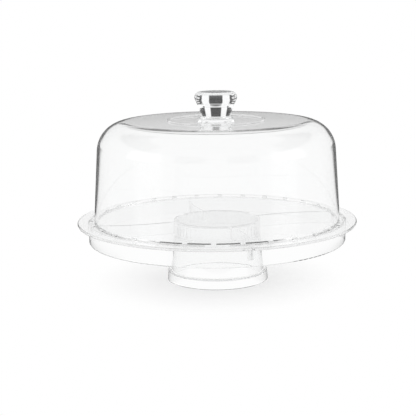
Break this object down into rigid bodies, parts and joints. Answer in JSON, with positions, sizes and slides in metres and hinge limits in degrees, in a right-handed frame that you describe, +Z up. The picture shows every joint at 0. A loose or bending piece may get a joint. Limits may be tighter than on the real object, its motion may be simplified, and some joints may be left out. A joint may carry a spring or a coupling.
{
  "type": "acrylic cake stand",
  "caption": "Clear acrylic cake stand: a low cup pedestal, a round serving tray with a flange and curved dividers below, and a domed cover with a solid knob.",
  "frame": {"origin": "middle of the pedestal's foot, in the plane that it stands on", "axes": "+Z up along the stand's axis; +Y away from the picture's viewer, +X to the right"},
  "size_m": [0.3048, 0.3048, 0.2056],
  "materials": {
    "clear_acrylic": "clear polished acrylic",
    "clear_knob": "solid clear polished acrylic"
  },
  "bodies": {
    "root": {"pedestal_cup": "clear_acrylic", "serving_tray": "clear_acrylic", "dome_cover": "clear_acrylic", "dome_knob": "clear_knob"}
  },
  "joints": []
}
